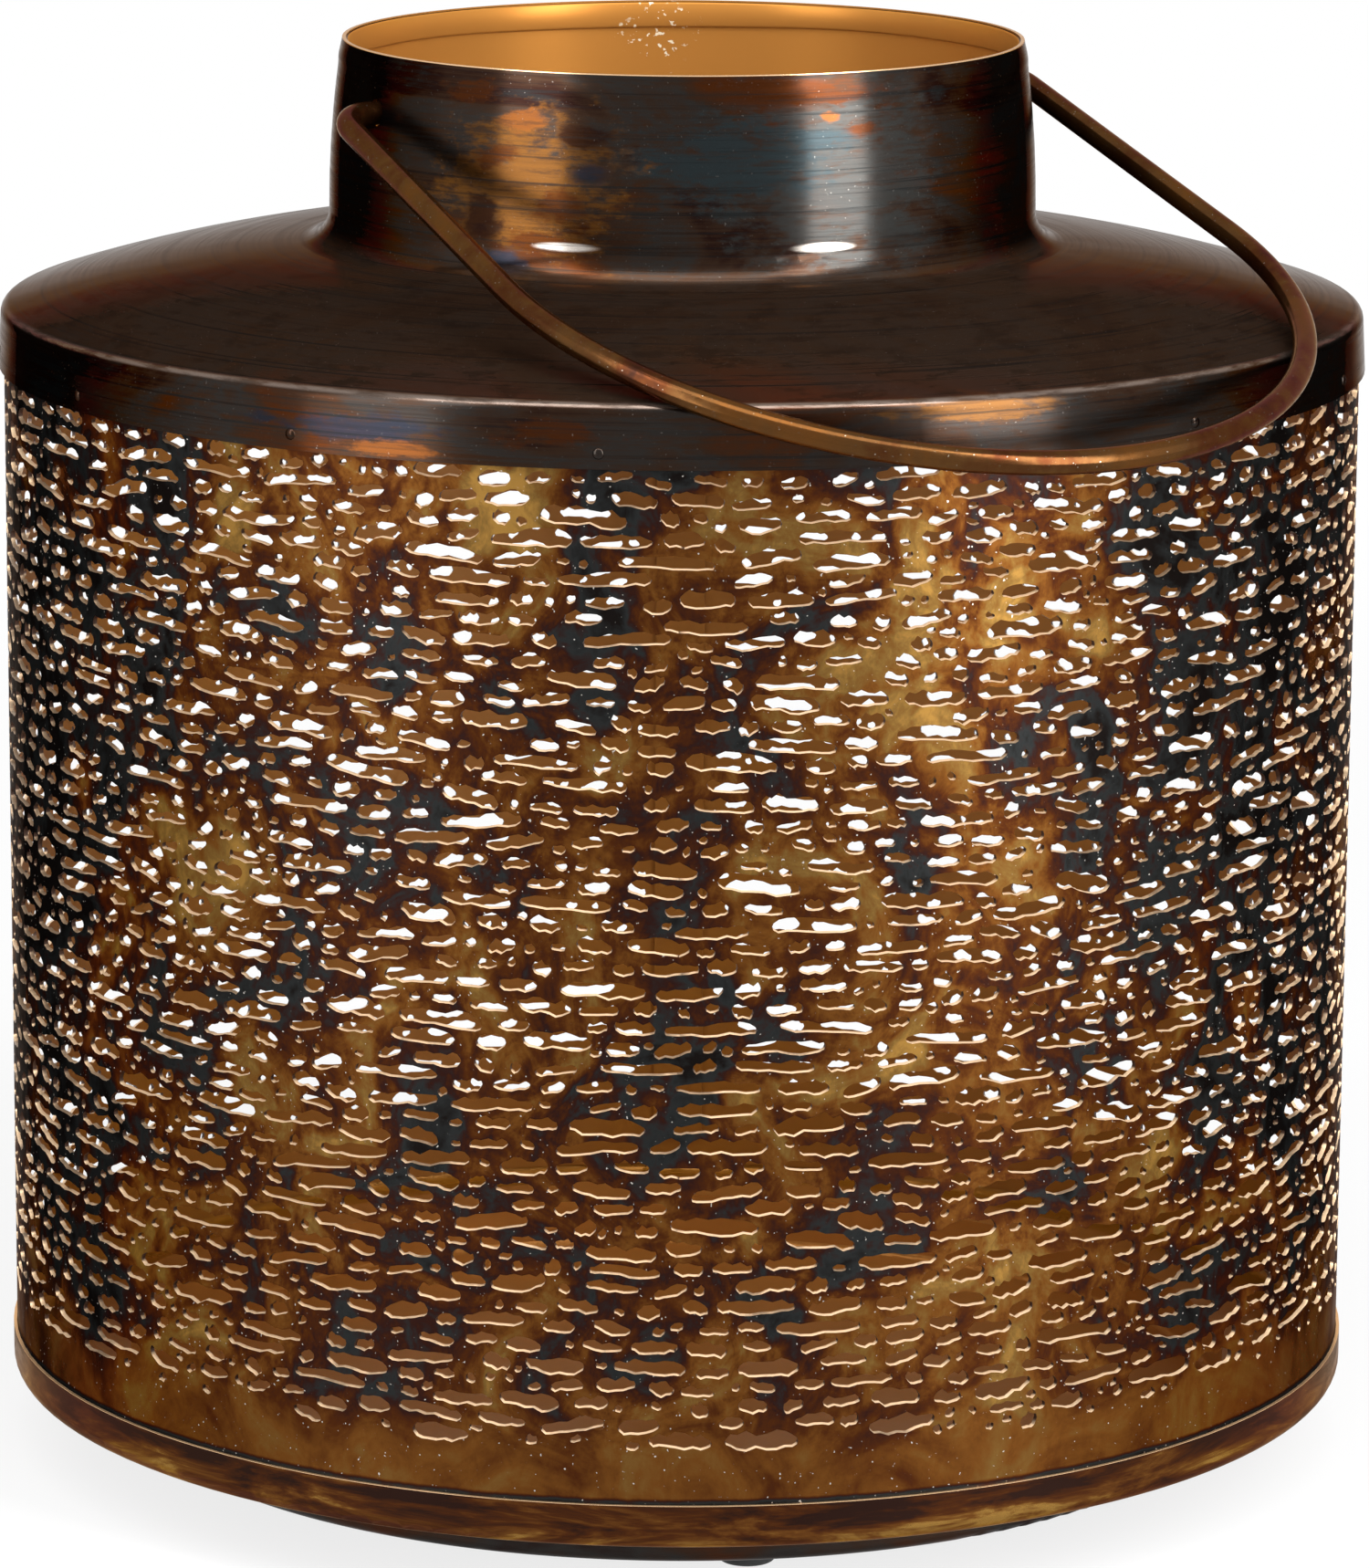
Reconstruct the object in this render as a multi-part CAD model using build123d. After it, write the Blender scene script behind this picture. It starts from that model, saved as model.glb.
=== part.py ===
from build123d import *
import math
import os
import random

os.makedirs("parts", exist_ok=True)

# Lengths are in millimetres and angles in degrees, measured from +X. +Z is up and the bail's pivot axis lies
# along X. The origin is the middle of the dish floor, where the candle stands. At rest the bail lies on the
# shoulder towards -Y.

# Drum: a rolled sheet, lapped along a seam
drum_radius = 150.0
drum_sheet = 0.9
drum_shown_height = 218.9
seam_angle = 59.6
seam_lap = 12.0

# Slots of the drum, in rows that waver
slot_row_pitch = 9.5
slot_height = 4.4
slot_shortest = 9.0
slot_longest = 24.0
slot_gap_shortest = 7.0
slot_gap_longest = 15.0
slot_waver = 1.5
slot_bottom_margin = 12.0
slot_top_margin = 6.0
slot_seed = 4

# Spun top: neck, shoulder and skirt in one sheet
top_sheet = 0.8
skirt_lap = 6.5
skirt_above_drum = 6.5
skirt_flare = 0.7
skirt_fit = 0.1
crease_bend = 1.7
shoulder_rise = 13.9
shoulder_crown = 2.4
neck_foot_radius = 78.0
neck_rim_radius = 75.1
neck_height = 44.3
neck_belly = 1.05
neck_fillet = 7.0

# Rivets through the skirt and the drum
rivet_count = 14
rivet_phase = 1.8
rivet_shank_radius = 0.7
rivet_head_lip = 0.5
rivet_head_height = 0.5
rivet_hole_fit = 0.05
rivet_seat_gap = 0.03

# Base rim: a band round the drum's foot with a lip turned in
rim_sheet = 0.7
rim_fit = 0.1
rim_band_height = 9.7
rim_bend = 2.3

# Bottom dish: its flange lies on the rim's lip and its wall hangs through it
dish_sheet = 0.8
dish_setback = 24.7
dish_fit = 0.1
dish_drop = 11.1
dish_flange_width = 13.0
dish_bend = 1.2

# Feet under the dish
foot_count = 4
foot_phase = 67.6
foot_radius = 6.3
foot_height = 4.2
foot_rounding = 1.2
foot_setback = 15.3

# Bail: a bent wire with a head at each end inside the neck
wire_radius = 2.6
pivot_drop = 12.6
pivot_fit = 0.35
bail_reach = 180.0
bail_bow_radius = 90.25
bail_stub = 1.3
bail_bend_radius = 8.0
bail_head_lip = 0.45
bail_head_height = 1.6
bail_head_gap = 0.5
bail_rest_gap = 0.3

# Heights that follow from the sizes above
dish_underside = -dish_sheet
rim_underside = dish_underside + dish_drop
lip_top = rim_underside + rim_sheet
drum_bottom = lip_top + rim_bend
band_top = rim_underside + rim_band_height
skirt_bottom = band_top + drum_shown_height
rivet_level = skirt_bottom + skirt_lap / 2
drum_top = skirt_bottom + skirt_lap
crease_level = drum_top + skirt_above_drum
neck_foot_level = crease_level + shoulder_rise
neck_rim_level = neck_foot_level + neck_height
pivot_level = neck_rim_level - pivot_drop

# Radii that follow from the sizes above
drum_inner_radius = drum_radius - drum_sheet
skirt_slope = skirt_flare / (skirt_lap + skirt_above_drum)
skirt_bottom_radius = drum_radius + skirt_fit + top_sheet + skirt_slope * skirt_lap
crease_radius = skirt_bottom_radius - skirt_flare
band_radius = drum_radius + rim_fit + rim_sheet
dish_radius = drum_radius - dish_setback
rivet_head_radius = rivet_shank_radius + rivet_head_lip
bail_head_radius = wire_radius + pivot_fit + bail_head_lip


def arc_middle(start, end, rise):
    """The middle point of an arc from start to end that stands rise to the right of its chord."""
    chord = Vector(*end) - Vector(*start)
    right = Vector(chord.Y, -chord.X).normalized()
    return (Vector(*start) + Vector(*end)) * 0.5 + right * rise


def nearest_corner(shape, point):
    """The corner of a flat shape that lies nearest to a point."""
    return min(shape.vertices(), key=lambda corner: (Vector(corner) - Vector(*point)).length)


def rounded(section, corners):
    """A flat section with some of its corners rounded, each given as a point and a radius."""
    for point, radius in corners:
        section = fillet(nearest_corner(section, point), radius)
    return section


def turned(section):
    """A half section, in radius and height, turned once round the lantern's axis."""
    return revolve(Plane.XZ * section, Axis.Z)


def tube(outer_radius, inner_radius, low, high):
    """A plain ring round the axis between two heights."""
    ring = Circle(outer_radius) - Circle(inner_radius)
    return extrude(Plane.XY.offset(low) * ring, high - low)


def outward(angle, level, radius=0.0):
    """A place on the lantern whose local X points straight out from the axis."""
    return Location((0, 0, level)) * Rotation(0, 0, angle) * Location((radius, 0, 0))


def radial_bar(radius, start, end):
    """A round bar along local X from one distance from the axis to another."""
    bar = Cylinder(radius, end - start, align=(Align.CENTER, Align.CENTER, Align.MIN))
    return Location((start, 0, 0)) * Rotation(0, 90, 0) * bar


def rivet_places():
    """Where each rivet's line starts on the axis."""
    return [outward(rivet_phase + 360 * i / rivet_count, rivet_level) for i in range(rivet_count)]


def rivet_holes():
    """The round cutters for the rivet shanks, right through the skirt and the drum."""
    inside = drum_inner_radius - drum_sheet
    outside = skirt_bottom_radius + top_sheet
    cutter = radial_bar(rivet_shank_radius + rivet_hole_fit, inside, outside)
    return [place * cutter for place in rivet_places()]


def top_section():
    """The filled half section of the spun top, in radius and height."""
    skirt_edge = (skirt_bottom_radius, skirt_bottom)
    crease = (crease_radius, crease_level)
    neck_foot = (neck_foot_radius, neck_foot_level)
    neck_rim = (neck_rim_radius, neck_rim_level)
    outline = [
        Line((0, skirt_bottom), skirt_edge),
        Line(skirt_edge, crease),
        ThreePointArc(crease, arc_middle(crease, neck_foot, shoulder_crown), neck_foot),
        ThreePointArc(neck_foot, arc_middle(neck_foot, neck_rim, neck_belly), neck_rim),
        Line(neck_rim, (0, neck_rim_level)),
        Line((0, neck_rim_level), (0, skirt_bottom)),
    ]
    return rounded(make_face(outline), [(crease, crease_bend + top_sheet), (neck_foot, neck_fillet)])


def spun_top():
    """The neck, shoulder and skirt, with the bail's two holes and the rivet holes."""
    body = turned(top_section())
    shell = offset(body, -top_sheet, openings=body.faces().filter_by(GeomType.PLANE))
    pivot_hole = radial_bar(wire_radius + pivot_fit, -crease_radius, crease_radius)
    return shell - [outward(0, pivot_level) * pivot_hole, *rivet_holes()]


def slot_cutter(length):
    """A straight-sided cutter for one slot, deep enough for the drum's curve over its length."""
    curve = length**2 / (8 * drum_inner_radius)
    return Box(4 * drum_sheet + 2 * curve, length, slot_height)


def slot_cutters():
    """Cutters in rows that waver, with lengths and gaps that vary, clear of the seam."""
    draw = random.Random(slot_seed)
    lowest = band_top + slot_bottom_margin + slot_height / 2 + slot_waver
    highest = skirt_bottom - slot_top_margin - slot_height / 2 - slot_waver
    rows = 1 + int((highest - lowest) / slot_row_pitch)
    around = 2 * math.pi * drum_radius
    cutters = []
    for row in range(rows):
        along = seam_lap + draw.uniform(0, slot_gap_longest)
        length = draw.uniform(slot_shortest, slot_longest)
        while along + length < around - seam_lap:
            angle = seam_angle + 360 * (along + length / 2) / around
            level = lowest + row * slot_row_pitch + draw.uniform(-slot_waver, slot_waver)
            cutters.append(outward(angle, level, drum_radius) * slot_cutter(length))
            along += length + draw.uniform(slot_gap_shortest, slot_gap_longest)
            length = draw.uniform(slot_shortest, slot_longest)
    return cutters


def punched_drum():
    """The rolled sheet with its slots and rivet holes, and the lap of its seam on the inside."""
    sheet = tube(drum_radius, drum_inner_radius, drum_bottom, drum_top)
    lap_ring = tube(drum_inner_radius, drum_inner_radius - drum_sheet, band_top, skirt_bottom)
    lap_slab = Box(drum_radius, seam_lap, 2 * drum_top)
    lap = lap_ring & (outward(seam_angle, 0, drum_radius) * lap_slab)
    return (sheet + lap) - [*slot_cutters(), *rivet_holes()]


def base_rim():
    """The band round the drum's foot, with its lip turned in under the drum."""
    inner_radius = band_radius - rim_sheet
    lip_radius = dish_radius + dish_fit
    corner = (band_radius, rim_underside)
    inner_corner = (inner_radius, lip_top)
    outline = Polyline(
        (band_radius, band_top),
        corner,
        (lip_radius, rim_underside),
        (lip_radius, lip_top),
        inner_corner,
        (inner_radius, band_top),
        close=True,
    )
    return turned(rounded(make_face(outline), [(corner, rim_bend + rim_sheet), (inner_corner, rim_bend)]))


def bottom_dish():
    """The dish whose flange lies on the rim's lip and whose floor carries the candle."""
    inner_radius = dish_radius - dish_sheet
    flange_radius = dish_radius + dish_flange_width
    flange_top = lip_top + dish_sheet
    corner = (dish_radius, dish_underside)
    inner_corner = (inner_radius, 0)
    outline = Polyline(
        (0, dish_underside),
        corner,
        (dish_radius, lip_top),
        (flange_radius, lip_top),
        (flange_radius, flange_top),
        (inner_radius, flange_top),
        inner_corner,
        (0, 0),
        close=True,
    )
    return turned(rounded(make_face(outline), [(corner, dish_bend + dish_sheet), (inner_corner, dish_bend)]))


def rubber_foot(angle):
    """A round pad on the dish's underside, with its lower edge rounded."""
    pad = Cylinder(foot_radius, foot_height, align=(Align.CENTER, Align.CENTER, Align.MAX))
    pad = fillet(pad.edges().sort_by(Axis.Z)[0], foot_rounding)
    return outward(angle, dish_underside, dish_radius - foot_setback) * pad


def rivet(place):
    """One rivet: a shank, a head on the skirt and a tail on the drum's inside."""
    under_head = rivet_level - rivet_head_radius - skirt_bottom
    head_seat = skirt_bottom_radius - skirt_slope * under_head + rivet_seat_gap
    tail_seat = drum_inner_radius - rivet_seat_gap
    shank = radial_bar(rivet_shank_radius, tail_seat, head_seat)
    head = radial_bar(rivet_head_radius, head_seat, head_seat + rivet_head_height)
    tail = radial_bar(rivet_head_radius, tail_seat - rivet_head_height, tail_seat)
    return place * (shank + head + tail)


def neck_radius_at(level):
    """The neck's outer radius at a height."""
    crossing = top_section() & Line((0, level), (2 * crease_radius, level))
    return max(corner.X for corner in crossing.vertices())


def bail_line(wire_end, corner_half):
    """The middle line of the bail's wire laid flat, with the pivot axis along X and the bow towards +Y.

    Each leg runs from its corner on the pivot axis to the point where it touches the bow's circle.
    """
    bow_middle = bail_reach - bail_bow_radius
    corner_distance = math.hypot(corner_half, bow_middle)
    corner_bearing = math.atan2(-bow_middle, corner_half)
    touch_bearing = corner_bearing + math.acos(bail_bow_radius / corner_distance)
    touch_x = bail_bow_radius * math.cos(touch_bearing)
    touch_y = bow_middle + bail_bow_radius * math.sin(touch_bearing)
    line = Wire(
        [
            Line((-wire_end, 0), (-corner_half, 0)),
            Line((-corner_half, 0), (-touch_x, touch_y)),
            ThreePointArc((-touch_x, touch_y), (0, bail_reach), (touch_x, touch_y)),
            Line((touch_x, touch_y), (corner_half, 0)),
            Line((corner_half, 0), (wire_end, 0)),
        ]
    )
    corners = [nearest_corner(line, (side * corner_half, 0)) for side in (-1, 1)]
    return line.fillet_2d(bail_bend_radius, corners)


def clears_top(angle, wire_points, skin_points):
    """Whether the wire stays off the top when the bail hangs by an angle below level."""
    across = math.cos(math.radians(angle))
    down = math.sin(math.radians(angle))
    for point in wire_points:
        radius = math.hypot(point.X, point.Y * across)
        height = pivot_level - point.Y * down
        nearest = min(math.hypot(radius - skin.X, height - skin.Y) for skin in skin_points)
        if nearest < wire_radius + bail_rest_gap:
            return False
    return True


def rest_angle(line):
    """How far the bail hangs below level when its wire lies on the shoulder's edge."""
    edges = top_section().edges()
    skin_points = [edge @ (i / 40) for edge in edges for i in range(41)]
    skin_points = [point for point in skin_points if point.X > neck_foot_radius]
    wire_points = [line @ (0.5 + i / 160) for i in range(81)]
    low, high = 0.0, 60.0
    for _ in range(20):
        middle = (low + high) / 2
        if clears_top(middle, wire_points, skin_points):
            low = middle
        else:
            high = middle
    return low


def bail_handle():
    """The bent wire with its two heads, laid down on the shoulder."""
    neck_radius = neck_radius_at(pivot_level)
    wire_end = neck_radius - top_sheet - bail_head_gap - bail_head_height
    line = bail_line(wire_end, neck_radius + bail_stub + bail_bend_radius)
    wire = sweep(Plane(line @ 0, z_dir=line % 0) * Circle(wire_radius), path=line)
    head = radial_bar(bail_head_radius, wire_end, wire_end + bail_head_height)
    angle = rest_angle(line)
    print("Bail pivot height:", round(pivot_level, 3))
    print("Bail angle below level at rest:", round(angle, 3))
    flat_bail = wire + [head, Rotation(0, 0, 180) * head]
    return outward(0, pivot_level) * Rotation(180 + angle, 0, 0) * flat_bail


def save(name, shape):
    """Write one node to its own file."""
    shape.label = name
    export_step(shape, f"parts/{name}.step")


save("spun_top", spun_top())
save("punched_drum", punched_drum())
save("base_rim", base_rim())
save("bottom_dish", bottom_dish())
for foot in range(foot_count):
    save(f"rubber_foot_{foot + 1}", rubber_foot(foot_phase + 360 * foot / foot_count))
save("bail_handle", bail_handle())
save("skirt_rivets", Compound(children=[rivet(place) for place in rivet_places()]))
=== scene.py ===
import math

import bpy
import numpy as np
from mathutils import Euler, Matrix, Vector
from mathutils.geometry import delaunay_2d_cdt


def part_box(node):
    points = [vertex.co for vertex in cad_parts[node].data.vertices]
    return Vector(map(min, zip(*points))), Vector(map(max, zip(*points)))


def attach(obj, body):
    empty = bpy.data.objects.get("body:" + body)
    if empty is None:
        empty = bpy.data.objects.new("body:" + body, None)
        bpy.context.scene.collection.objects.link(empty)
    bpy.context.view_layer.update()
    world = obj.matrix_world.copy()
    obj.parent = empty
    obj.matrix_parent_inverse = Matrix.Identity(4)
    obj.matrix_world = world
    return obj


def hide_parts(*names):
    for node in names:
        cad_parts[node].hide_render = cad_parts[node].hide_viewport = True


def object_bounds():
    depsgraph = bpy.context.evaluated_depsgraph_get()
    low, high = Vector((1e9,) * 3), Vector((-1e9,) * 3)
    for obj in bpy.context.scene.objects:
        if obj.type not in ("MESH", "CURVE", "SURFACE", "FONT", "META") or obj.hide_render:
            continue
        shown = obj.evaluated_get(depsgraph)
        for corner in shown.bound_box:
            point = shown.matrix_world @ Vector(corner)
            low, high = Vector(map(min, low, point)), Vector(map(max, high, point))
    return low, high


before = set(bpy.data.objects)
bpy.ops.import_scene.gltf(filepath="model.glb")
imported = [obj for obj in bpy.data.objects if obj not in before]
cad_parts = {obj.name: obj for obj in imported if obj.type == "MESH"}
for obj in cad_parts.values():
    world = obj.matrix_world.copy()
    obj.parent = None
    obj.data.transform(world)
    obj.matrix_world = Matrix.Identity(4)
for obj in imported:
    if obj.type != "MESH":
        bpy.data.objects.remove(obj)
cad_low, cad_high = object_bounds()

# Lengths are in metres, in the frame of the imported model: +Z up, the origin in the middle of the dish floor
# and the bail's pivot axis along X. Angles are in degrees, measured from +X unless a comment says otherwise.
MM = 0.001

# Levels and radii that the frame gives
drum_low, drum_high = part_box("punched_drum")
drum_radius = drum_high.x
drum_girth = 2 * math.pi * drum_radius
drum_bottom = drum_low.z
drum_top = drum_high.z
band_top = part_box("base_rim")[1].z
skirt_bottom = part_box("spun_top")[0].z
neck_rim_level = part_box("spun_top")[1].z
floor_level = cad_low.z

# The side of the lantern that the photograph shows
front_side = 239.6

# Drum sheet: holes with wavy edges, cut through at a slant so that the lower edges show
sheet_thickness = 0.9 * MM
seam_angle = 59.6
seam_margin = 8 * MM
seam_lap = 12 * MM
seam_lap_gap = 0.05 * MM
seam_lap_steps = 8
hole_seed = 3
hole_bridge = 0.9 * MM
hole_bottom_margin = 12.5 * MM
hole_bottom_waver = 5 * MM
hole_top_margin = 0.5 * MM
hole_row_pitch = 4.25 * MM
hole_row_waver = 0.9 * MM
hole_gap = (1.0 * MM, 3.4 * MM)
hole_step_back = 1.2 * MM
hole_tilt = 5
dot_tries = 9000
edge_slant = 0.11 * MM
edge_lift = 0.12 * MM
grid_step = 5 * MM
occupied_cell = 0.4 * MM
seam_match = 1e-9
merge_distance = 1e-7

# Kinds of hole: their share, lengths, heights and points along each edge
LONG_HOLE = {"share": 0.4, "length": (9.5 * MM, 20 * MM), "height": (2.4 * MM, 4.3 * MM), "points": 10}
SHORT_HOLE = {"share": 0.46, "length": (3.8 * MM, 9 * MM), "height": (2.1 * MM, 3.7 * MM), "points": 7}
DOT_HOLE = {"share": 0.14, "length": (1.7 * MM, 3.2 * MM), "height": (1.5 * MM, 2.5 * MM), "points": 4}

# Edges of small pieces sharper than this angle are not smoothed
sharp_angle = 40
neck_sharp_angle = 50

# Crease between the skirt and the shoulder
crease_level = skirt_bottom + 13 * MM

# Rivets through the skirt and the drum
rivet_count = 14
rivet_phase = 1.8
rivet_level = (skirt_bottom + drum_top) / 2
rivet_shank_radius = 0.7 * MM
rivet_head_radius = 1.2 * MM
rivet_head_height = 0.5 * MM
rivet_head_seat = 151.09 * MM
rivet_tail_seat = 149.07 * MM
rivet_sides = 20

# Neck: its outer shape, the sheet turned in at its rim, and the soft roll that this leaves outside
neck_height = 44.3 * MM
neck_foot_radius = 78 * MM
neck_rim_radius = 75.1 * MM
neck_belly = 1.05 * MM
neck_sheet = 0.8 * MM
hem_height = 6.2 * MM
hem_waver = 0.5 * MM
hem_thickness = 0.7 * MM
hem_gap = 0.05 * MM
hem_top_drop = 0.3 * MM
hem_sides = 240
hem_seed = 3
hem_waves = (2, 3, 5, 9)
roll_height = 6.5 * MM
roll_swell = 0.3 * MM
roll_steps = 12

# Camera: where the photograph was taken from
camera_azimuth = -30.4
camera_distance = 1.6209
camera_level = 0.4902
camera_down = 12.088
camera_roll = 0.308
camera_lens = 169.17
camera_shift = (0.00323, -0.00392)

# Stage: how far the floor reaches, how bright the surround is, and the level that the lamps face
floor_reach = 12.0
surround_strength = 0.14
lamp_aim_level = 160 * MM

# Patches of colour: how much noise breaks their edges, where those fade out, and the noise of an even edge
patch_rag = 3.2
patch_fade = (2.65, 2.1)
even_rag = 0.5


def wrapped(around, level, radius):
    """A point of the unrolled drum, wrapped round the axis. The sheet starts and ends at the seam."""
    angle = math.radians(seam_angle) + around / drum_radius
    return np.stack([radius * np.cos(angle), radius * np.sin(angle), level], axis=-1)


def unit(vectors):
    """Vectors of length one."""
    return vectors / np.maximum(np.linalg.norm(vectors, axis=1), 1e-12)[:, None]


def new_object(name, mesh, materials):
    """A new piece that shows a mesh with some materials."""
    for material in materials:
        mesh.materials.append(material)
    piece = bpy.data.objects.new(name, mesh)
    bpy.context.scene.collection.objects.link(piece)
    return piece


# Node helpers
class Painter:
    """Builds the nodes of one material."""

    def __init__(self, name):
        self.material = bpy.data.materials.new(name)
        self.material.use_nodes = True
        self.tree = self.material.node_tree
        self.shader = self.tree.nodes["Principled BSDF"]
        self.output = self.tree.nodes["Material Output"]
        coordinates = self.tree.nodes.new("ShaderNodeTexCoord")
        self.place = coordinates.outputs["Object"]
        self.normal = coordinates.outputs["Normal"]

    def put(self, socket, value):
        """Link or set one input."""
        if isinstance(value, bpy.types.NodeSocket):
            self.tree.links.new(value, socket)
        else:
            socket.default_value = value

    def node(self, kind, inputs, output=0, **settings):
        """A new node with its settings and inputs, of which one output is given back."""
        made = self.tree.nodes.new(kind)
        for key, value in settings.items():
            setattr(made, key, value)
        for key, value in inputs.items():
            self.put(made.inputs[key], value)
        return made.outputs[output]

    def set(self, **values):
        """Link or set inputs of the shader, with underscores for spaces in their names."""
        for key, value in values.items():
            self.put(self.shader.inputs[key.replace("_", " ")], value)

    def math(self, operation, a, b=0.0, c=0.0):
        return self.node("ShaderNodeMath", {0: a, 1: b, 2: c}, operation=operation)

    def stretched(self, x, y, z, shift=(0, 0, 0)):
        """The object's own coordinates, scaled and shifted along each axis."""
        inputs = {"Vector": self.place, "Scale": (x, y, z), "Location": shift}
        return self.node("ShaderNodeMapping", inputs)

    def noise(self, place, scale, detail=4.0, roughness=0.55, distortion=0.0):
        inputs = {"Vector": place, "Scale": scale, "Detail": detail}
        inputs.update({"Roughness": roughness, "Distortion": distortion})
        return self.node("ShaderNodeTexNoise", inputs)

    def ramp(self, value, stops):
        """A colour ramp with (position, colour) stops."""
        made = self.tree.nodes.new("ShaderNodeValToRGB")
        self.put(made.inputs[0], value)
        elements = made.color_ramp.elements
        while len(elements) < len(stops):
            elements.new(1.0)
        for element, (position, colour) in zip(elements, stops):
            element.position = position
            element.color = (*colour, 1.0)
        return made.outputs[0]

    def span(self, value, low, high, to_low=0.0, to_high=1.0, smooth=True):
        """A value between two limits, mapped to two others."""
        inputs = {0: value, 1: low, 2: high, 3: to_low, 4: to_high}
        kind = "SMOOTHSTEP" if smooth else "LINEAR"
        return self.node("ShaderNodeMapRange", inputs, interpolation_type=kind)

    def mix(self, factor, first, second, blend="MIX"):
        """Two colours mixed."""
        made = self.tree.nodes.new("ShaderNodeMix")
        made.data_type = "RGBA"
        made.blend_type = blend
        for index, value in ((0, factor), (6, first), (7, second)):
            if isinstance(value, tuple):
                value = (*value, 1.0)
            self.put(made.inputs[index], value)
        return made.outputs[2]

    def bump(self, height, strength, distance, under=None):
        inputs = {"Height": height, "Strength": strength, "Distance": distance}
        if under is not None:
            inputs["Normal"] = under
        return self.node("ShaderNodeBump", inputs)

    def vector(self, operation, a, b=(0, 0, 0)):
        """The result of a vector operation: a number for a dot product or a length, or else a vector."""
        output = 1 if operation in ("DOT_PRODUCT", "LENGTH") else 0
        return self.node("ShaderNodeVectorMath", {0: a, 1: b}, output, operation=operation)

    def along(self, direction):
        """The object's own coordinate along one direction."""
        return self.vector("DOT_PRODUCT", self.place, direction)

    def joined(self, x, y, z):
        return self.node("ShaderNodeCombineXYZ", {0: x, 1: y, 2: z})

    def axis_distance(self):
        """The distance from the lantern's axis."""
        return self.vector("LENGTH", self.vector("MULTIPLY", self.place, (1, 1, 0)))

    def faces_out(self, upward):
        """1 where the surface faces away from the axis, 0 where it faces it. Facing up counts by a share."""
        outward = self.vector("NORMALIZE", self.vector("MULTIPLY", self.place, (1, 1, 0)))
        aim = self.vector("ADD", outward, (0, 0, upward))
        return self.span(self.vector("DOT_PRODUCT", self.normal, aim), -0.05, 0.05)

    def rings(self, scale, roughness=0.7):
        """Fine lines round the axis, as a tool leaves them on spun sheet."""
        drift = self.math("MULTIPLY", self.along((1, 0.4, 0)), 0.012)
        place = self.joined(self.axis_distance(), self.along((0, 0, 1)), drift)
        return self.noise(place, scale, 3, roughness)

    def patch(self, bearing, level, width, height, rag):
        """1 inside an uneven patch at a bearing from the front side and a level, 0 outside it."""
        angle = math.radians(front_side + bearing)
        across = self.math("DIVIDE", self.along((-math.sin(angle), math.cos(angle), 0)), width)
        up = self.math("DIVIDE", self.math("SUBTRACT", self.along((0, 0, 1)), level), height)
        reach = self.vector("LENGTH", self.joined(across, up, 0.0))
        reach = self.math("MULTIPLY_ADD", rag, patch_rag, reach)
        near_side = self.math("GREATER_THAN", self.along((math.cos(angle), math.sin(angle), 0)), 0.0)
        return self.math("MULTIPLY", self.span(reach, *patch_fade), near_side)


# Colours of burnt metal and of the paint inside
SOOT = (0.007, 0.0055, 0.005)
SLATE = (0.017, 0.0185, 0.0185)
PLUM = (0.015, 0.0058, 0.0045)
WINE = (0.021, 0.0075, 0.0058)
RUST = (0.050, 0.014, 0.004)
AMBER = (0.106, 0.039, 0.008)
OLIVE = (0.130, 0.070, 0.018)
GOLD = (0.238, 0.127, 0.029)
UMBER = (0.030, 0.016, 0.010)
GUNMETAL = (0.024, 0.021, 0.019)
# A lighter brown for upward faces: partly a heat tint, partly a painted sheen on the shoulder
SHOULDER_BROWN_AND_SHEEN = (0.080, 0.042, 0.024)
HONEY = (0.100, 0.040, 0.0085)
BRONZE = (0.075, 0.033, 0.010)
# Pale colour of the painted highlight along the crease
CREASE_HIGHLIGHT = (0.200, 0.155, 0.130)
# Near-white colour of the painted highlights at the foot of the neck
PAINTED_HIGHLIGHT = (0.55, 0.50, 0.45)
STEEL = (0.030, 0.0305, 0.029)
TEAL = (0.019, 0.027, 0.030)
BLUE = (0.014, 0.016, 0.024)
FLAME = (0.11, 0.036, 0.009)
CUT = (0.94, 0.72, 0.48)
COPPER = (0.88, 0.58, 0.33)
# Dark brown of cut edges that do not face up, as painted shade, and of edges browned by heat
SHADED_AND_BROWNED = (0.055, 0.026, 0.016)
PAINT = (0.42, 0.178, 0.037)
# The drum's inside paint: the same paint made darker, as painted shade for the dim inside of the drum, with a
# darker variant for its clouds
SHADED_DRUM_PAINT = (0.34, 0.136, 0.012)
SHADED_DRUM_PAINT_SHADE = (0.27, 0.100, 0.008)
DUST = (0.50, 0.47, 0.43)
CHIP = (0.80, 0.70, 0.52)
BLACK = (0.012, 0.012, 0.012)
CHARCOAL = (0.03, 0.03, 0.03)
FLOOR_GREY = (0.82, 0.82, 0.82, 1.0)

# Tints that the metals take at a glancing angle
DRUM_GLANCE = (0.20, 0.135, 0.09, 1.0)
TOP_GLANCE = (0.26, 0.165, 0.11, 1.0)
BAND_GLANCE = (0.70, 0.48, 0.30, 1.0)
WIRE_GLANCE = (0.60, 0.42, 0.28, 1.0)

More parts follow.
